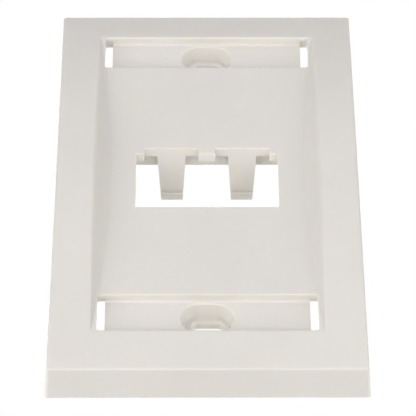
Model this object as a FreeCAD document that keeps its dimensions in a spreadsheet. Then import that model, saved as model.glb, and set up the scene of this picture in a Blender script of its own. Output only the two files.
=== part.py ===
import FreeCAD, Part
import math
import os
import re
import Sketcher

# Modular wall plate, single gang, for snap-in jack modules: one plastic moulding.
# X runs to the right, Z up, and the front faces -Y. The rim that lies on the wall is the plane Y = 0, with
# the origin at its centre. In the sheet, a height is measured from that plane towards the front.

doc = FreeCAD.newDocument("modular_wall_plate")
sheet = doc.addObject("Spreadsheet::Sheet", "dims")

DIMENSIONS = [
    # Outer form
    ("plate_width", 69.85),
    ("plate_height", 114.3),
    ("draft_angle", 4.4),
    ("crown_height", 14.6),
    ("arch_radius", 260),
    ("corner_radius", 0.7),
    ("edge_radius", 0.5),
    # Flat field, sunk into the arch between two coved side walls
    ("field_height", 10.22),
    ("field_half", 25.25),
    ("field_reach", 47.9),
    ("field_end_rise", 0.05),
    ("wall_slope", 62),
    ("shoulder_slope", 52),
    ("crest_slope", 6),
    ("cove_share", 0.75),
    ("shoulder_share", 0.66),
    ("shoulder_round_share", 2.4),
    ("crest_share", 0.988),
    ("crest_round_share", 0.24),
    ("crest_overrun", 4),
    ("clear_height", 20),
    ("cut_margin", 1),
    # Hollow back
    ("shell", 2.2),
    ("end_ceiling", 7.1),
    ("end_zone", 46),
    ("field_back", 7.8),
    ("frame_hollow_inner", 27),
    # Label recesses, with a snap slot at each end
    ("recess_inner", 36.6),
    ("recess_outer", 46.83),
    ("recess_half", 23.87),
    ("recess_corner", 0.5),
    ("recess_floor", 8.15),
    ("recess_cove", 0.6),
    ("rim_radius", 0.2),
    ("slot_inner", 22.2),
    ("slot_undercut", 0.35),
    ("lip_height", 9.15),
    ("tray_back", 6.1),
    ("tray_wall", 1.6),
    # Screw wells
    ("screw_spacing", 83.3),
    ("well_width", 11.5),
    ("well_height", 8.5),
    ("well_corner", 4),
    ("well_draft", 13),
    ("well_wall", 1.5),
    ("seat_height", 4.5),
    ("seat_back", 2.6),
    ("screw_slot_width", 6.8),
    ("screw_slot_height", 4.12),
    ("screw_slot_corner", 1.3),
    ("well_bevel", 0.15),
    ("screw_slot_bevel", 0.35),
    # Module window and its snap tongues
    ("window_half", 16.05),
    ("window_bottom", 9.7),
    ("tab_edge", 7.35),
    ("notch_top", 9.07),
    ("end_tab", 1.75),
    ("tab_corner", 0.3),
    ("window_radius", 0.2),
    ("middle_tab_half", 1.85),
    ("tongue_offset", 8.08),
    ("tongue_root_half", 3.25),
    ("tongue_tip_half", 2.5),
    ("tongue_root_flare", 0.25),
    ("tongue_thickness", 1.2),
    ("tongue_tip", 6.24),
    ("tongue_tip_corner", 0.35),
    ("hook_start", 3.75),
    ("hook_flat", 1.55),
    ("hook_rise", 0.4),
    ("hook_tip_rise", 0.15),
    # Ribs behind the field
    ("rib", 1.5),
    ("top_rib_gap", 2),
    ("bottom_rib_gap", 1.6),
    ("side_rib_gap", 1.2),
    ("cross_rib_back", 3.05),
    ("rail_back", 4.5),
    ("rib_overlap", 0.5),
    # Moulding gate
    ("gate_drop", 11.1),
    ("gate_half", 0.3),
    ("gate_round", 0.25),
    ("gate_rise", 0.12),
]

for row, (alias, value) in enumerate(DIMENSIONS, start=1):
    sheet.set("A%d" % row, alias)
    sheet.set("B%d" % row, str(value))
    sheet.setAlias("B%d" % row, alias)
doc.recompute()

body = doc.addObject("PartDesign::Body", "wall_plate")
body.Label = "wall_plate"


def cells(formula):
    """Spell a formula's sheet names with the sheet's own name, as an expression needs them."""
    names = {alias for alias, value in DIMENSIONS}

    def spelled(match):
        word = match.group(0)
        return "dims." + word if word in names else word

    return re.sub(r"[a-z]\w*", spelled, formula)


def number(formula):
    """The value of a formula, for drawing a sketch close to its final shape."""
    value = sheet.evalExpression(cells(formula))
    return float(getattr(value, "Value", value))


def origin_plane(role):
    """One of the body's own origin planes."""
    for feature in body.Origin.OriginFeatures:
        if feature.Role == role:
            return feature
    raise ValueError(role)


def new_sketch(name, role, offset):
    """An empty sketch on an origin plane, moved along the plane's normal by a formula."""
    sketch = body.newObject("Sketcher::SketchObject", name)
    sketch.AttachmentSupport = [(origin_plane(role), "")]
    sketch.MapMode = "FlatFace"
    sketch.setExpression("AttachmentOffset.Base.z", cells(offset))
    return sketch


def front_sketch(name, height):
    """A sketch seen from the front: x is X, y is Z, and it lies at a height above the wall."""
    return new_sketch(name, "XZ_Plane", height)


def level_sketch(name, level):
    """A sketch seen from above, at a Z level: x is X, and y is minus the height above the wall."""
    return new_sketch(name, "XY_Plane", level)


def side_sketch(name, station):
    """A sketch seen from the side, at an X station: x is minus the height above the wall, and y is Z."""
    return new_sketch(name, "YZ_Plane", station)


def bind(sketch, index, formula):
    """Drive a sketch constraint by a formula."""
    sketch.setExpression("Constraints[%d]" % index, cells(formula))


def drawn_arc(start, end, radius, turn):
    """The short arc from start to end, counterclockwise for a turn of 1 and clockwise for -1."""
    chord = end - start
    middle = (start + end) * 0.5
    rise = math.sqrt(max(radius ** 2 - (chord.Length / 2) ** 2, 0))
    across = FreeCAD.Vector(-chord.y, chord.x, 0)
    across.normalize()
    centre = middle + across * (rise * turn)
    first, last = (start, end) if turn > 0 else (end, start)
    angles = [math.atan2(point.y - centre.y, point.x - centre.x) for point in (first, last)]
    circle = Part.Circle(centre, FreeCAD.Vector(0, 0, 1), radius)
    return Part.ArcOfCircle(circle, angles[0], angles[1])


def outline(sketch, corners, arcs=None):
    """Add a closed loop through corners, each a pair of formulas.

    arcs maps the number of an edge to (radius formula, turn); the other edges are straight.
    """
    arcs = arcs or {}
    base = sketch.GeometryCount
    count = len(corners)
    spots = [FreeCAD.Vector(number(x), number(y), 0) for x, y in corners]
    heads = []
    for edge in range(count):
        start = spots[edge]
        end = spots[(edge + 1) % count]
        if edge in arcs:
            radius, turn = arcs[edge]
            sketch.addGeometry(drawn_arc(start, end, number(radius), turn))
            heads.append(1 if turn > 0 else 2)
        else:
            sketch.addGeometry(Part.LineSegment(start, end))
            heads.append(1)
    for edge in range(count):
        following = (edge + 1) % count
        tail = 3 - heads[edge]
        joint = Sketcher.Constraint("Coincident", base + edge, tail, base + following, heads[following])
        sketch.addConstraint(joint)
    for edge, (x, y) in enumerate(corners):
        for kind, formula, value in (("DistanceX", x, spots[edge].x), ("DistanceY", y, spots[edge].y)):
            place = Sketcher.Constraint(kind, -1, 1, base + edge, heads[edge], value)
            bind(sketch, sketch.addConstraint(place), formula)
    for edge, (radius, turn) in arcs.items():
        size = Sketcher.Constraint("Radius", base + edge, number(radius))
        bind(sketch, sketch.addConstraint(size), radius)


def box_loop(sketch, left, right, low, high):
    """Add a rectangle."""
    outline(sketch, [(left, low), (right, low), (right, high), (left, high)])


def round_box_loop(sketch, left, right, low, high, radius):
    """Add a rectangle with rounded corners."""
    left_in = "%s + %s" % (left, radius)
    right_in = "%s - %s" % (right, radius)
    low_in = "%s + %s" % (low, radius)
    high_in = "%s - %s" % (high, radius)
    corners = [(left_in, low), (right_in, low), (right, low_in), (right, high_in),
               (right_in, high), (left_in, high), (left, high_in), (left, low_in)]
    outline(sketch, corners, {edge: (radius, 1) for edge in (1, 3, 5, 7)})


def pad(name, sketch, length):
    """Raise a sketch along its normal."""
    feature = body.newObject("PartDesign::Pad", name)
    feature.Profile = sketch
    feature.setExpression("Length", cells(length))
    return feature


def pocket(name, sketch, length, reverse=False):
    """Cut a sketch away, against its normal, or along it when reversed."""
    feature = body.newObject("PartDesign::Pocket", name)
    feature.Profile = sketch
    feature.Reversed = reverse
    feature.setExpression("Length", cells(length))
    return feature


def dress_edges(kind, name, size, test):
    """Round ("Fillet") or bevel ("Chamfer") the edges whose middle passes a test of x, height and z."""
    doc.recompute()
    names = []
    for index, edge in enumerate(body.Shape.Edges, start=1):
        middle = edge.valueAt(sum(edge.ParameterRange) / 2)
        if test(middle.x, -middle.y, middle.z):
            names.append("Edge%d" % index)
    base = body.Tip
    feature = body.newObject("PartDesign::" + kind, name)
    feature.Base = (base, names)
    feature.setExpression("Radius" if kind == "Fillet" else "Size", cells(size))
    doc.recompute()


# Outer form: a drafted block whose front is cut to a shallow arch
block_sketch = front_sketch("block_sketch", "0")
box_loop(block_sketch, "-plate_width / 2", "plate_width / 2", "-plate_height / 2", "plate_height / 2")
block = pad("block", block_sketch, "clear_height")
block.setExpression("TaperAngle", cells("-draft_angle"))

ARCH_CENTRE = "arch_radius - crown_height"
arch_end = "%s - sqrt(arch_radius ^ 2 - (plate_height / 2) ^ 2)" % ARCH_CENTRE
arch_sketch = side_sketch("arch_sketch", "0")
outline(arch_sketch, [(arch_end, "-plate_height / 2"), (arch_end, "plate_height / 2"),
                      ("-clear_height - cut_margin", "plate_height / 2"),
                      ("-clear_height - cut_margin", "-plate_height / 2")],
        {0: ("arch_radius", -1)})
arch_cut = pocket("arch_cut", arch_sketch, "plate_width")
arch_cut.Midplane = True

NEAR = 0.02
CORNER_ZONE = 1


def arch_height(z):
    """Height of the arched front above the wall."""
    return math.sqrt(number("arch_radius") ** 2 - z ** 2) - number(ARCH_CENTRE)


def on_corner(x, height, z):
    """The four upright corner edges of the skirt."""
    beside = abs(x) > number("plate_width / 2") - CORNER_ZONE
    return beside and abs(z) > number("plate_height / 2") - CORNER_ZONE


def on_front_edge(x, height, z):
    """The outer edge of the arched front."""
    return abs(height - arch_height(z)) < NEAR


dress_edges("Fillet", "corner_rounding", "corner_radius", on_corner)
dress_edges("Fillet", "front_rounding", "edge_radius", on_front_edge)


# Flat field: a loft whose coved side walls grow with the arch, from nothing at its ends
def bend(x, height, slope_in, slope_out, radius, turn, steps):
    """The points of a round bend at a corner of the section, where one slope passes into the next.

    turn is 1 where the section gets steeper on its way out and -1 where it flattens. The bend is drawn in
    equal steps, so that each strip of the wall is nearly flat and needs few facets.
    """
    reach = "(%d * %s * tan((%s - %s) / 2))" % (turn, radius, slope_out, slope_in)
    points = []
    for step in range(steps + 1):
        slope = "(%s + (%s - %s) * %d / %d)" % (slope_in, slope_out, slope_in, step, steps)
        across = "%d * %s * (sin(%s) - sin(%s))" % (turn, radius, slope, slope_in)
        up = "%d * %s * (cos(%s) - cos(%s))" % (turn, radius, slope_in, slope)
        points.append(("%s - %s * cos(%s) + %s" % (x, reach, slope_in, across),
                       "%s - %s * sin(%s) + %s" % (height, reach, slope_in, up)))
    return points


COVE_STEPS = 4


def field_section(name, share):
    """The section of the cut at a share of the field's reach, seen from above.

    From the field it rises in a cove, leans back over a wide shoulder and ends in a rounded crest.
    """
    rise = "(crown_height - field_height + (field_end_rise - crown_height + field_height) * %s ^ 2)" % share
    shoulder = "(shoulder_share * %s)" % rise
    crest = "(crest_share * %s)" % rise
    shoulder_x = "(field_half - (%s - %s) / tan(shoulder_slope))" % (crest, shoulder)
    foot_x = "(%s - %s / tan(wall_slope))" % (shoulder_x, shoulder)
    bends = [
        (foot_x, "0", "0", "wall_slope", "(cove_share * %s)" % rise, 1, COVE_STEPS),
        (shoulder_x, shoulder, "wall_slope", "shoulder_slope", "(shoulder_round_share * %s)" % rise, -1, 1),
        ("field_half", crest, "shoulder_slope", "crest_slope", "(crest_round_share * %s)" % rise, -1, 1),
    ]
    half = []
    arcs = {}
    for x, height, slope_in, slope_out, radius, turn, steps in bends:
        for step in range(steps):
            arcs[len(half) + step] = (radius, -turn)
        half += bend(x, height, slope_in, slope_out, radius, turn, steps)
    half += [("field_half + crest_overrun", "%s + crest_overrun * tan(crest_slope)" % crest),
             ("field_half + crest_overrun", "clear_height - field_height")]
    last = 2 * len(half) - 2
    arcs.update({last - edge: arc for edge, arc in arcs.items()})
    right = [(x, "-field_height - (%s)" % height) for x, height in half]
    left = [("-(%s)" % x, y) for x, y in reversed(right)]
    sketch = level_sketch(name, "field_reach * %s" % share)
    outline(sketch, right + left, arcs)
    return sketch


SECTION_COUNT = 5
sections = []
for step in range(SECTION_COUNT):
    share = "(%d / %d - 1)" % (2 * step, SECTION_COUNT - 1)
    sections.append(field_section("field_section_%d" % (step + 1), share))
field_cut = body.newObject("PartDesign::SubtractiveLoft", "field_cut")
field_cut.Profile = sections[0]
field_cut.Sections = sections[1:]
doc.recompute()

# Hollow back: a drafted tray up to the field, deeper under the raised side frames
hollow_sketch = front_sketch("hollow_sketch", "0")
box_loop(hollow_sketch, "-plate_width / 2 + shell", "plate_width / 2 - shell",
         "-plate_height / 2 + shell", "plate_height / 2 - shell")
hollow = pocket("hollow", hollow_sketch, "end_ceiling", reverse=True)
hollow.setExpression("TaperAngle", cells("-draft_angle"))

hollow_half = "plate_width / 2 - shell - field_back * tan(draft_angle)"
field_hollow_sketch = front_sketch("field_hollow_sketch", "0")
box_loop(field_hollow_sketch, "-(%s)" % hollow_half, hollow_half, "-end_zone", "end_zone")
pocket("field_hollow", field_hollow_sketch, "field_back", reverse=True)

frame_hollow_end = "%s - sqrt((arch_radius - shell) ^ 2 - end_zone ^ 2)" % ARCH_CENTRE
frame_hollow_reach = "plate_width / 2 - shell - crown_height * tan(draft_angle) - frame_hollow_inner"
for side, sign in (("right", ""), ("left", "-")):
    sketch = side_sketch("frame_hollow_sketch_" + side, sign + "frame_hollow_inner")
    outline(sketch, [(frame_hollow_end, "-end_zone"), (frame_hollow_end, "end_zone"),
                     ("-end_ceiling", "end_zone"), ("-end_ceiling", "-end_zone")],
            {0: ("arch_radius - shell", -1)})
    pocket("frame_hollow_" + side, sketch, frame_hollow_reach, reverse=(side == "right"))

# Module window through the field, with three tabs and two notches along its top
window_sketch = front_sketch("window_sketch", "field_height + cut_margin")
window_right = [
    ("window_half", "-window_bottom"),
    ("window_half", "tab_edge"),
    ("window_half - end_tab + tab_corner", "tab_edge"),
    ("window_half - end_tab", "tab_edge + tab_corner"),
    ("window_half - end_tab", "notch_top"),
    ("middle_tab_half", "notch_top"),
    ("middle_tab_half", "tab_edge + tab_corner"),
    ("middle_tab_half - tab_corner", "tab_edge"),
]
window_left = [("-(%s)" % x, z) for x, z in reversed(window_right)]
# Edges of the loop that round the tabs' corners
TAB_CORNERS = (2, 6, 8, 12)
outline(window_sketch, window_right + window_left, {edge: ("tab_corner", -1) for edge in TAB_CORNERS})
pocket("window", window_sketch, "field_height + cut_margin - end_ceiling")

# Ribs behind the field: a cross rib above and below the window, and a rail at each side of it
ribs_sketch = front_sketch("cross_rib_sketch", "cross_rib_back")
rib_half = "window_half + side_rib_gap + rib / 2"
top_rib = "notch_top + top_rib_gap"
bottom_rib = "-window_bottom - bottom_rib_gap - rib"
for low in (top_rib, bottom_rib):
    box_loop(ribs_sketch, "-(%s)" % rib_half, rib_half, low, low + " + rib")
pad("cross_ribs", ribs_sketch, "field_back + rib_overlap - cross_rib_back")

rails_sketch = front_sketch("rail_sketch", "rail_back")
rail_inner = "window_half + side_rib_gap"
rail_end = "recess_inner - tray_wall / 2"
box_loop(rails_sketch, rail_inner, rail_inner + " + rib", "-(%s)" % rail_end, rail_end)
box_loop(rails_sketch, "-(%s) - rib" % rail_inner, "-(%s)" % rail_inner, "-(%s)" % rail_end, rail_end)
pad("rails", rails_sketch, "field_back + rib_overlap - rail_back")


def at_end(sign, inner, outer):
    """The low and high limits of a feature at the upper (1) or lower (-1) end of the plate."""
    if sign > 0:
        return inner, outer
    return "-(%s)" % outer, "-(%s)" % inner


ENDS = (1, -1)

# Label recesses: a tray behind the field, with a screw boss behind each tray
tray_sketch = front_sketch("tray_sketch", "tray_back")
for sign in ENDS:
    box_loop(tray_sketch, "-slot_inner", "slot_inner",
             *at_end(sign, "recess_inner - tray_wall", "recess_outer + tray_wall"))
pad("trays", tray_sketch, "lip_height - tray_back")

boss_sketch = front_sketch("boss_sketch", "seat_back")
boss_half = "well_width / 2 + well_wall"
boss_reach = "(well_height / 2 + well_wall)"
for sign in ENDS:
    round_box_loop(boss_sketch, "-(%s)" % boss_half, boss_half,
                   *at_end(sign, "screw_spacing / 2 - " + boss_reach, "screw_spacing / 2 + " + boss_reach),
                   "(well_corner + well_wall)")
pad("screw_bosses", boss_sketch, "tray_back + rib_overlap - seat_back")

recess_sketch = front_sketch("recess_sketch", "field_height + cut_margin")
for sign in ENDS:
    round_box_loop(recess_sketch, "-recess_half", "recess_half",
                   *at_end(sign, "recess_inner", "recess_outer"), "recess_corner")
pocket("recesses", recess_sketch, "field_height + cut_margin - recess_floor")


def slot_loop(sketch, side, low, high):
    """Add a slot at the right ("") or left ("-") end of a recess, with the recess's rounded corners."""
    near = side + "slot_inner"
    far = side + "recess_half"
    far_in = side + "(recess_half - recess_corner)"
    corners = [(near, low), (far_in, low), (far, low + " + recess_corner"),
               (far, high + " - recess_corner"), (far_in, high), (near, high)]
    turn = -1 if side else 1
    outline(sketch, corners, {1: ("recess_corner", turn), 3: ("recess_corner", turn)})


# Snap slots at the ends of each recess, undercut behind a lip
slot_sketch = front_sketch("slot_sketch", "recess_floor + cut_margin")
undercut_sketch = front_sketch("undercut_sketch", "lip_height")
for sign in ENDS:
    for side in ("", "-"):
        slot_loop(slot_sketch, side, *at_end(sign, "recess_inner", "recess_outer"))
        slot_loop(undercut_sketch, side,
                  *at_end(sign, "recess_inner - slot_undercut", "recess_outer + slot_undercut"))
pocket("snap_slots", slot_sketch, "recess_floor + cut_margin")
pocket("slot_undercuts", undercut_sketch, "lip_height")

# Screw wells, drafted down to a seat, and the slot that the screw goes through
well_sketch = front_sketch("well_sketch", "recess_floor")
screw_slot_sketch = front_sketch("screw_slot_sketch", "seat_height")
for sign in ENDS:
    round_box_loop(well_sketch, "-well_width / 2", "well_width / 2",
                   *at_end(sign, "(screw_spacing - well_height) / 2", "(screw_spacing + well_height) / 2"),
                   "well_corner")
    round_box_loop(screw_slot_sketch, "-screw_slot_width / 2", "screw_slot_width / 2",
                   *at_end(sign, "(screw_spacing - screw_slot_height) / 2",
                           "(screw_spacing + screw_slot_height) / 2"),
                   "screw_slot_corner")
wells = pocket("screw_wells", well_sketch, "recess_floor - seat_height")
wells.setExpression("TaperAngle", cells("-well_draft"))
pocket("screw_slots", screw_slot_sketch, "seat_height")

# Snap tongues: flexing strips that run straight back from the notches, each with a hook near its tip
tongue_sketch = level_sketch("tongue_sketch", "notch_top")
hook_sketch = side_sketch("hook_sketch", "tongue_offset")
outline(tongue_sketch, [
    ("tongue_offset + tongue_root_half + tongue_root_flare", "-field_back - rib_overlap"),
    ("tongue_offset - tongue_root_half - tongue_root_flare", "-field_back - rib_overlap"),
    ("tongue_offset - tongue_root_half - tongue_root_flare", "-field_back"),
    ("tongue_offset - tongue_root_half", "-field_back + tongue_root_flare"),
    ("tongue_offset - tongue_tip_half", "tongue_tip - tongue_tip_corner"),
    ("tongue_offset - tongue_tip_half + tongue_tip_corner", "tongue_tip"),
    ("tongue_offset + tongue_tip_half - tongue_tip_corner", "tongue_tip"),
    ("tongue_offset + tongue_tip_half", "tongue_tip - tongue_tip_corner"),
    ("tongue_offset + tongue_root_half", "-field_back + tongue_root_flare"),
    ("tongue_offset + tongue_root_half + tongue_root_flare", "-field_back"),
], {2: ("tongue_root_flare", 1), 4: ("tongue_tip_corner", -1),
    6: ("tongue_tip_corner", -1), 8: ("tongue_root_flare", 1)})
tongue = pad("tongue", tongue_sketch, "tongue_thickness")
outline(hook_sketch, [
    ("hook_start", "notch_top + tongue_thickness / 2"),
    ("hook_start", "notch_top - hook_rise"),
    ("hook_start + hook_flat", "notch_top - hook_rise"),
    ("tongue_tip - tongue_tip_corner / 4", "notch_top - hook_tip_rise"),
    ("tongue_tip - tongue_tip_corner / 4", "notch_top + tongue_thickness / 2"),
])
hook = pad("hook", hook_sketch, "2 * tongue_tip_half - tongue_tip_corner / 2")
hook.Midplane = True
doc.recompute()
tongue_pair = body.newObject("PartDesign::Mirrored", "tongue_pair")
tongue_pair.Originals = [tongue, hook]
tongue_pair.MirrorPlane = (origin_plane("YZ_Plane"), [""])
body.Tip = tongue_pair
doc.recompute()

# Rounded and bevelled edges that catch the light
field_height = number("field_height")
recess_floor = number("recess_floor")
recess_inner = number("recess_inner")
recess_outer = number("recess_outer")


def on_recess_floor(x, height, z):
    """The two long edges of each recess floor."""
    at_wall = min(abs(abs(z) - recess_inner), abs(abs(z) - recess_outer)) < NEAR
    return abs(height - recess_floor) < NEAR and at_wall


def at_screw(x, z, width, height):
    """Whether a place lies within a width and a height about one of the screws."""
    beside = abs(x) < number(width) / 2 + NEAR
    return beside and abs(abs(z) - number("screw_spacing / 2")) < number(height) / 2 + NEAR


def on_well_rim(x, height, z):
    """The mouth of each screw well."""
    return abs(height - recess_floor) < NEAR and at_screw(x, z, "well_width", "well_height")


def on_screw_slot(x, height, z):
    """The front edge of each screw slot, in its seat."""
    at_seat = abs(height - number("seat_height")) < NEAR
    return at_seat and at_screw(x, z, "screw_slot_width", "screw_slot_height")


def on_recess_rim(x, height, z):
    """The mouth of each label recess, on the field and on the arched end of the frame."""
    beside = recess_inner - NEAR < abs(z) < recess_outer + NEAR and abs(x) < number("recess_half") + NEAR
    return height > min(field_height, arch_height(z)) - NEAR and beside


def on_window_rim(x, height, z):
    """The front edges of the module window."""
    inside = abs(x) < number("window_half") + NEAR and -number("window_bottom") - NEAR < z
    return abs(height - field_height) < NEAR and inside and z < number("notch_top") + NEAR


dress_edges("Fillet", "recess_coves", "recess_cove", on_recess_floor)
dress_edges("Chamfer", "well_bevels", "well_bevel", on_well_rim)
dress_edges("Chamfer", "screw_slot_bevels", "screw_slot_bevel", on_screw_slot)
dress_edges("Fillet", "recess_rims", "rim_radius", on_recess_rim)
dress_edges("Fillet", "window_rim", "window_radius", on_window_rim)

# Small pip left by the moulding gate, just below the window
gate_sketch = front_sketch("gate_sketch", "field_height")
round_box_loop(gate_sketch, "-gate_half", "gate_half", "-gate_drop - gate_half", "-gate_drop + gate_half",
               "gate_round")
pad("gate_pip", gate_sketch, "gate_rise")
doc.recompute()

for item in doc.Objects:
    if "Invalid" in item.State or "Error" in item.State:
        raise RuntimeError("%s failed: %s" % (item.Label, item.State))
if body.Shape.isNull() or not body.Shape.isValid():
    raise RuntimeError("wall_plate has no valid shape")
os.makedirs("parts", exist_ok=True)
body.Shape.exportStep("parts/%s.step" % body.Label)
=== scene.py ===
import math

import bpy
from mathutils import Euler, Matrix, Vector


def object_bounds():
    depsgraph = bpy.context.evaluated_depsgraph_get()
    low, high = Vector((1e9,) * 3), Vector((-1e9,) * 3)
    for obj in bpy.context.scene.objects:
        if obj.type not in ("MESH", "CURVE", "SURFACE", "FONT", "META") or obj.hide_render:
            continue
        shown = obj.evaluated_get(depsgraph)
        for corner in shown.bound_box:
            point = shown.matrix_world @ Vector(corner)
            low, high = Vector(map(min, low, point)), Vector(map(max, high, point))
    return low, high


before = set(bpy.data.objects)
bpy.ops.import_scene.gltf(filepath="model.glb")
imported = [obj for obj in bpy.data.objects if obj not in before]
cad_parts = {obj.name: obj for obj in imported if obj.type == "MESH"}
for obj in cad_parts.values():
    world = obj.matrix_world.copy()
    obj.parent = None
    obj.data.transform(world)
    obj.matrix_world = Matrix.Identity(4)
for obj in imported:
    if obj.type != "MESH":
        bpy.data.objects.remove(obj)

# Modular wall plate: looks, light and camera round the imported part. Sizes are in metres, angles in degrees.
# The plate stands as it does on a wall: X to the right, Z up, and its front faces -Y.

cad_low, cad_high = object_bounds()
plate_centre = (cad_low + cad_high) / 2

# Photograph's view: from below and nearly square on
IMAGE_PIXELS = 416
FOCAL_PIXELS = 2779.4
SENSOR_MM = 36.0
VIEW_AIM = Vector((0.000244, 0, 0.00009))
VIEW_DISTANCE = 0.63487
LEVEL_VIEW = 90.0
VIEW_RISE = 44.859
VIEW_TURN = -0.335
VIEW_ROLL = -0.277

# Plastic: its darkest and lightest tone, its sharpest and dullest gloss, and how far light seeps into it
TONE_LOW = (0.768, 0.733, 0.667)
TONE_HIGH = (0.79, 0.755, 0.691)
TONE_SPREAD = (0.35, 0.65)
ROUGHNESS_LOW = 0.27
ROUGHNESS_HIGH = 0.37
SCATTER_WEIGHT = 0.6
SCATTER_RADIUS = (1.0, 0.9, 0.5)
SCATTER_SCALE = 0.0009

# Patterns in the plastic, each with its features per metre and its levels of finer detail
COLOUR_CLOUDS = (45, 4)
GLOSS_MOTTLE = (420, 3)
MATTE_GRAIN = (2600, 2)
GRAIN_DEPTH = 0.000012

# Floor and backdrop: the backdrop's tone changes with the sine of the angle above the horizon
FLOOR_DROP = 1.3
FLOOR_WIDTH = 60.0
FLOOR_COLOUR = (0.82, 0.82, 0.82)
FLOOR_ROUGHNESS = 0.9
BACKDROP_LOW = (0.867, 0.867, 0.867)
BACKDROP_HIGH = (1.0, 1.0, 1.0)
BACKDROP_SPREAD = (0.1, 0.55)

# Soft boxes round the plate: the direction of each from the plate, and its power in watts
LAMP_DISTANCE = 1.2
LAMP_WIDTH = 0.9
FRONT_LAMP_COLOUR = (0.99, 1.0, 1.05)
BACK_LAMP_COLOUR = (1.0, 1.0, 0.98)
SOFT_BOXES = {
    "left_low_light": ((-0.7, -0.5, -0.52), 7.4),
    "right_low_light": ((0.7, -0.5, -0.52), 6.05),
    "left_side_light": ((-0.85, -0.6, 0.1), 2.4),
    "right_side_light": ((0.85, -0.6, 0.1), 2.05),
    "front_light": ((0, -0.85, -0.52), 3.7),
    "top_light": ((0, -0.7, 0.7), 2.15),
    "low_back_light": ((0, 0.9, -0.45), 2.6),
    "left_back_light": ((-0.8, 0.5, -0.2), 4.6),
    "right_back_light": ((0.8, 0.5, -0.2), 4.3),
    "back_top_light": ((0, 0.5, 0.85), 4.2),
}


def add_node(tree, kind, **inputs):
    """Add a shader node and set the named input sockets, with an underscore for each space in a name."""
    node = tree.nodes.new(kind)
    for name, value in inputs.items():
        node.inputs[name.replace("_", " ")].default_value = value
    return node


def opaque(colour):
    """A colour with full alpha, as colour sockets take it."""
    return (*colour, 1.0)


def add_noise(tree, place, scale, detail):
    """A noise pattern fixed to the plate, with its scale in features per metre."""
    noise = add_node(tree, "ShaderNodeTexNoise", Scale=scale, Detail=detail)
    tree.links.new(place, noise.inputs["Vector"])
    return noise.outputs["Fac"]


def add_tones(tree, positions, colours):
    """A ramp between two colours."""
    tones = add_node(tree, "ShaderNodeValToRGB")
    for stop, position, colour in zip(tones.color_ramp.elements, positions, colours):
        stop.position = position
        stop.color = opaque(colour)
    return tones


def seen_directly(tree):
    """A value of 1 for rays that show the background itself: straight, mirrored or seen through."""
    path = add_node(tree, "ShaderNodeLightPath")
    seen = path.outputs["Is Camera Ray"]
    for kind in ("Is Glossy Ray", "Is Transmission Ray"):
        either = add_node(tree, "ShaderNodeMath")
        either.operation = "MAXIMUM"
        tree.links.new(seen, either.inputs[0])
        tree.links.new(path.outputs[kind], either.inputs[1])
        seen = either.outputs[0]
    return seen


def plastic():
    """Off-white moulded plastic with a fine matte grain, faintly uneven in colour and gloss."""
    material = bpy.data.materials.new("plate_plastic")
    material.use_nodes = True
    tree = material.node_tree
    shader = tree.nodes["Principled BSDF"]
    shader.inputs["Subsurface Weight"].default_value = SCATTER_WEIGHT
    shader.inputs["Subsurface Radius"].default_value = SCATTER_RADIUS
    shader.inputs["Subsurface Scale"].default_value = SCATTER_SCALE

    place = add_node(tree, "ShaderNodeTexCoord").outputs["Object"]
    tones = add_tones(tree, TONE_SPREAD, (TONE_LOW, TONE_HIGH))
    tree.links.new(add_noise(tree, place, *COLOUR_CLOUDS), tones.inputs["Fac"])
    tree.links.new(tones.outputs["Color"], shader.inputs["Base Color"])

    gloss = add_node(tree, "ShaderNodeMapRange", To_Min=ROUGHNESS_LOW, To_Max=ROUGHNESS_HIGH)
    tree.links.new(add_noise(tree, place, *GLOSS_MOTTLE), gloss.inputs["Value"])
    tree.links.new(gloss.outputs["Result"], shader.inputs["Roughness"])

    grain = add_node(tree, "ShaderNodeBump", Distance=GRAIN_DEPTH)
    tree.links.new(add_noise(tree, place, *MATTE_GRAIN), grain.inputs["Height"])
    tree.links.new(grain.outputs["Normal"], shader.inputs["Normal"])
    return material


def floor_paper():
    """Matte pale paper, with a glow of its own colour where it is seen directly."""
    material = bpy.data.materials.new("floor_paper")
    material.use_nodes = True
    tree = material.node_tree
    paper = tree.nodes["Principled BSDF"]
    paper.inputs["Base Color"].default_value = opaque(FLOOR_COLOUR)
    paper.inputs["Roughness"].default_value = FLOOR_ROUGHNESS
    paper.inputs["Emission Color"].default_value = opaque(FLOOR_COLOUR)
    tree.links.new(seen_directly(tree), paper.inputs["Emission Strength"])
    return material


def add_camera():
    """The photograph's camera, turned up from looking straight down to level, and on by the view's rise."""
    data = bpy.data.cameras.new("photo_camera")
    data.sensor_width = SENSOR_MM
    data.lens = SENSOR_MM * FOCAL_PIXELS / IMAGE_PIXELS
    camera = bpy.data.objects.new("photo_camera", data)
    tilt = Euler((math.radians(LEVEL_VIEW + VIEW_RISE), 0, math.radians(VIEW_TURN))).to_matrix()
    turned = tilt @ Matrix.Rotation(math.radians(VIEW_ROLL), 3, "Z")
    backward = turned @ Vector((0, 0, 1))
    camera.rotation_euler = turned.to_euler()
    camera.location = VIEW_AIM + backward * VIEW_DISTANCE
    bpy.context.scene.collection.objects.link(camera)
    bpy.context.scene.camera = camera


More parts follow.
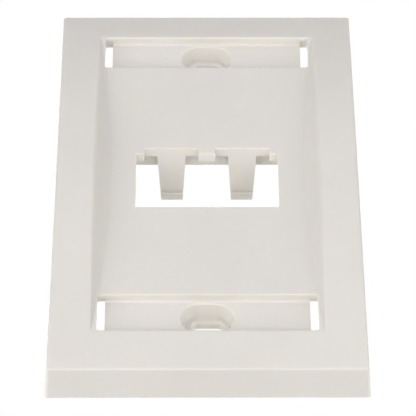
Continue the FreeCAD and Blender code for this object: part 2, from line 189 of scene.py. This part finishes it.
def add_world():
    """The backdrop, where it is seen directly: the floor's tone at the horizon, and white overhead."""
    world = bpy.data.worlds.new("studio")
    world.use_nodes = True
    bpy.context.scene.world = world
    tree = world.node_tree
    tree.nodes.clear()
    direction = add_node(tree, "ShaderNodeTexCoord").outputs["Generated"]
    split = add_node(tree, "ShaderNodeSeparateXYZ")
    tones = add_tones(tree, BACKDROP_SPREAD, (BACKDROP_LOW, BACKDROP_HIGH))
    backdrop = add_node(tree, "ShaderNodeBackground")
    output = add_node(tree, "ShaderNodeOutputWorld")
    tree.links.new(direction, split.inputs["Vector"])
    tree.links.new(split.outputs["Z"], tones.inputs["Fac"])
    tree.links.new(tones.outputs["Color"], backdrop.inputs["Color"])
    tree.links.new(seen_directly(tree), backdrop.inputs["Strength"])
    tree.links.new(backdrop.outputs["Background"], output.inputs["Surface"])


def add_floor():
    """A wide floor, well below the plate and the camera."""
    half = FLOOR_WIDTH / 2
    mesh = bpy.data.meshes.new("floor")
    corners = [(-half, -half, 0), (half, -half, 0), (half, half, 0), (-half, half, 0)]
    mesh.from_pydata(corners, [], [(0, 1, 2, 3)])
    mesh.materials.append(floor_paper())
    floor = bpy.data.objects.new("floor", mesh)
    floor.location = (0, 0, -FLOOR_DROP)
    bpy.context.scene.collection.objects.link(floor)


def add_soft_box(name, direction, power):
    """A square soft box that faces the plate, cooler in front of it than behind it."""
    away = Vector(direction).normalized()
    data = bpy.data.lights.new(name, "AREA")
    data.shape = "SQUARE"
    data.size = LAMP_WIDTH
    data.energy = power
    data.color = FRONT_LAMP_COLOUR if away.y < 0 else BACK_LAMP_COLOUR
    lamp = bpy.data.objects.new(name, data)
    lamp.location = plate_centre + away * LAMP_DISTANCE
    lamp.rotation_euler = away.to_track_quat("Z", "Y").to_euler()
    bpy.context.scene.collection.objects.link(lamp)


plate_finish = plastic()
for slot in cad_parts["wall_plate"].material_slots:
    slot.material = plate_finish
add_camera()
add_world()
add_floor()
for name, settings in SOFT_BOXES.items():
    add_soft_box(name, *settings)
bpy.context.scene.view_settings.view_transform = "Standard"
